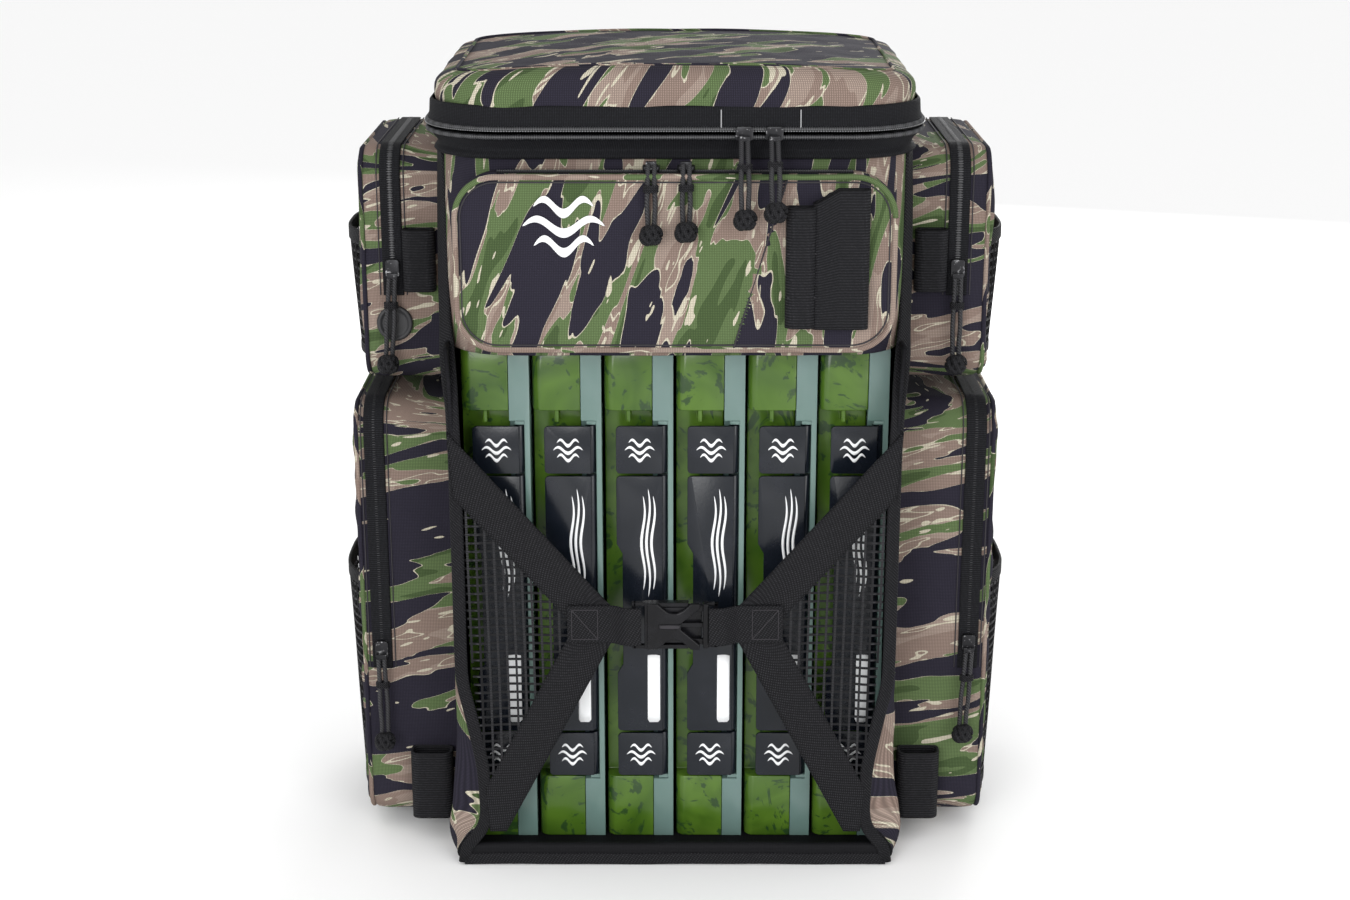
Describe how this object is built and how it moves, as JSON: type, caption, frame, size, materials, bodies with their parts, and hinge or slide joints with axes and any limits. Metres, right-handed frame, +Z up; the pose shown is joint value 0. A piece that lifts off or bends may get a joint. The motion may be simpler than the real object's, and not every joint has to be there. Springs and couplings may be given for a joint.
{
  "type": "tackle backpack",
  "caption": "Open-front fishing backpack: upright tackle trays in a bay under a buckled harness, zipped hinged lid, front and side pockets, padded back.",
  "frame": {"origin": "centre of the bag's base, between its side walls, on the face that it stands on", "axes": "+X to the right of someone facing the trays, +Y from the trays to the wearer's back, +Z up"},
  "size_m": [0.4716, 0.3395, 0.553],
  "materials": {
    "camo_cloth": "coarse woven polyester printed with irregular stripes",
    "boot_cloth": "coated black cloth",
    "spacer_mesh": "black padded spacer mesh",
    "webbing": "black woven webbing",
    "net": "black knitted net",
    "zip_tape": "black tape with a nylon coil",
    "sheet_plastic": "extruded sheet",
    "buckle_plastic": "moulded black acetal",
    "slider_metal": "black lacquered zinc",
    "cord": "black braided cord",
    "port_rubber": "soft black rubber",
    "tray_green": "green plastic with dark swirls",
    "tray_clear": "frosted clear polypropylene",
    "latch_black": "satin black plastic"
  },
  "bodies": {
    "bag": {"back_wall": "camo_cloth", "side_wall_left": "camo_cloth", "side_wall_right": "camo_cloth", "base_boot": "boot_cloth", "upper_tub": "camo_cloth", "frame_sheet": "sheet_plastic", "back_pads": "spacer_mesh", "shoulder_straps": "spacer_mesh", "strap_webbing": "webbing", "strap_hardware": "buckle_plastic", "front_pocket": "camo_cloth", "webbing_holders": "webbing", "side_pocket_upper_left": "camo_cloth", "side_pocket_upper_right": "camo_cloth", "side_pocket_lower_left": "camo_cloth", "side_pocket_lower_right": "camo_cloth", "zip_tapes": "zip_tape", "side_mesh": "net", "cable_port": "port_rubber"},
    "lid": {"lid_shell": "camo_cloth", "lid_zip": "zip_tape"},
    "haul_handle": {"haul_handle": "webbing"},
    "harness_left": {"harness_left": "webbing", "buckle_female": "buckle_plastic"},
    "harness_right": {"harness_right": "webbing", "buckle_male": "buckle_plastic"},
    "tray_1": {"tray_base_1": "tray_green", "tray_lid_1": "tray_clear"},
    "tray_latch_1": {"tray_latch_1": "latch_black"},
    "tray_2": {"tray_base_2": "tray_green", "tray_lid_2": "tray_clear"},
    "tray_latch_2": {"tray_latch_2": "latch_black"},
    "tray_3": {"tray_base_3": "tray_green", "tray_lid_3": "tray_clear"},
    "tray_latch_3": {"tray_latch_3": "latch_black"},
    "tray_4": {"tray_base_4": "tray_green", "tray_lid_4": "tray_clear"},
    "tray_latch_4": {"tray_latch_4": "latch_black"},
    "tray_5": {"tray_base_5": "tray_green", "tray_lid_5": "tray_clear"},
    "tray_latch_5": {"tray_latch_5": "latch_black"},
    "tray_6": {"tray_base_6": "tray_green", "tray_lid_6": "tray_clear"},
    "tray_latch_6": {"tray_latch_6": "latch_black"},
    "slider_lid_left": {"slider_lid_left": "slider_metal", "pull_lid_left": "cord"},
    "slider_lid_right": {"slider_lid_right": "slider_metal", "pull_lid_right": "cord"},
    "slider_front_left": {"slider_front_left": "slider_metal", "pull_front_left": "cord"},
    "slider_front_right": {"slider_front_right": "slider_metal", "pull_front_right": "cord"},
    "slider_upper_left": {"slider_upper_left": "slider_metal", "pull_upper_left": "cord"},
    "slider_upper_right": {"slider_upper_right": "slider_metal", "pull_upper_right": "cord"},
    "slider_lower_left": {"slider_lower_left": "slider_metal", "pull_lower_left": "cord"},
    "slider_lower_right": {"slider_lower_right": "slider_metal", "pull_lower_right": "cord"}
  },
  "joints": [
    {"name": "lid_hinge", "type": "hinge", "parent": "bag", "child": "lid", "pos_m": [0, 0.121, 0.512], "axis": [-1, 0, 0], "range_deg": [0, 100]},
    {"name": "handle_lift", "type": "hinge", "parent": "bag", "child": "haul_handle", "pos_m": [0, 0.1235, 0.488], "axis": [1, 0, 0], "range_deg": [0, 85]},
    {"name": "harness_left_fold", "type": "hinge", "parent": "bag", "child": "harness_left", "pos_m": [-0.1495, -0.137, 0.299], "axis": [0.0745, 0, -0.9972], "range_deg": [0, 150]},
    {"name": "harness_right_fold", "type": "hinge", "parent": "bag", "child": "harness_right", "pos_m": [0.1495, -0.137, 0.299], "axis": [0.0745, 0, 0.9972], "range_deg": [0, 106]},
    {"name": "tray_1_slide", "type": "slide", "parent": "bag", "child": "tray_1", "axis": [0, -1, 0], "range_m": [0, 0.012]},
    {"name": "tray_1_latch_turn", "type": "hinge", "parent": "tray_1", "child": "tray_latch_1", "pos_m": [-0.1046, -0.107, 0.186], "axis": [0, 0, 1], "range_deg": [0, 45]},
    {"name": "tray_2_slide", "type": "slide", "parent": "bag", "child": "tray_2", "axis": [0, -1, 0], "range_m": [0, 0.012]},
    {"name": "tray_2_latch_turn", "type": "hinge", "parent": "tray_2", "child": "tray_latch_2", "pos_m": [-0.0566, -0.107, 0.186], "axis": [0, 0, 1], "range_deg": [0, 45]},
    {"name": "tray_3_slide", "type": "slide", "parent": "bag", "child": "tray_3", "axis": [0, -1, 0], "range_m": [0, 0.012]},
    {"name": "tray_3_latch_turn", "type": "hinge", "parent": "tray_3", "child": "tray_latch_3", "pos_m": [-0.0086, -0.107, 0.186], "axis": [0, 0, 1], "range_deg": [0, 45]},
    {"name": "tray_4_slide", "type": "slide", "parent": "bag", "child": "tray_4", "axis": [0, -1, 0], "range_m": [0, 0.012]},
    {"name": "tray_4_latch_turn", "type": "hinge", "parent": "tray_4", "child": "tray_latch_4", "pos_m": [0.0394, -0.107, 0.186], "axis": [0, 0, 1], "range_deg": [0, 45]},
    {"name": "tray_5_slide", "type": "slide", "parent": "bag", "child": "tray_5", "axis": [0, -1, 0], "range_m": [0, 0.012]},
    {"name": "tray_5_latch_turn", "type": "hinge", "parent": "tray_5", "child": "tray_latch_5", "pos_m": [0.0874, -0.107, 0.186], "axis": [0, 0, 1], "range_deg": [0, 45]},
    {"name": "tray_6_slide", "type": "slide", "parent": "bag", "child": "tray_6", "axis": [0, -1, 0], "range_m": [0, 0.012]},
    {"name": "tray_6_latch_turn", "type": "hinge", "parent": "tray_6", "child": "tray_latch_6", "pos_m": [0.1354, -0.107, 0.186], "axis": [0, 0, 1], "range_deg": [0, 45]},
    {"name": "slider_lid_left_travel", "type": "slide", "parent": "bag", "child": "slider_lid_left", "axis": [1, 0, 0], "range_m": [-0.143, 0.003]},
    {"name": "slider_lid_right_travel", "type": "slide", "parent": "bag", "child": "slider_lid_right", "axis": [1, 0, 0], "range_m": [-0.003, 0.041]},
    {"name": "slider_front_left_travel", "type": "slide", "parent": "bag", "child": "slider_front_left", "axis": [1, 0, 0], "range_m": [-0.085, 0.004]},
    {"name": "slider_front_right_travel", "type": "slide", "parent": "bag", "child": "slider_front_right", "axis": [1, 0, 0], "range_m": [-0.004, 0.055]},
    {"name": "slider_upper_left_travel", "type": "slide", "parent": "bag", "child": "slider_upper_left", "axis": [0, 0, 1], "range_m": [0, 0.057]},
    {"name": "slider_upper_right_travel", "type": "slide", "parent": "bag", "child": "slider_upper_right", "axis": [0, 0, 1], "range_m": [0, 0.057]},
    {"name": "slider_lower_left_travel", "type": "slide", "parent": "bag", "child": "slider_lower_left", "axis": [0, 0, 1], "range_m": [0, 0.15]},
    {"name": "slider_lower_right_travel", "type": "slide", "parent": "bag", "child": "slider_lower_right", "axis": [0, 0, 1], "range_m": [0, 0.145]}
  ],
  "couplings": [
    {"joint": "harness_right_fold", "follows": "harness_left_fold", "ratio": 0.7}
  ]
}
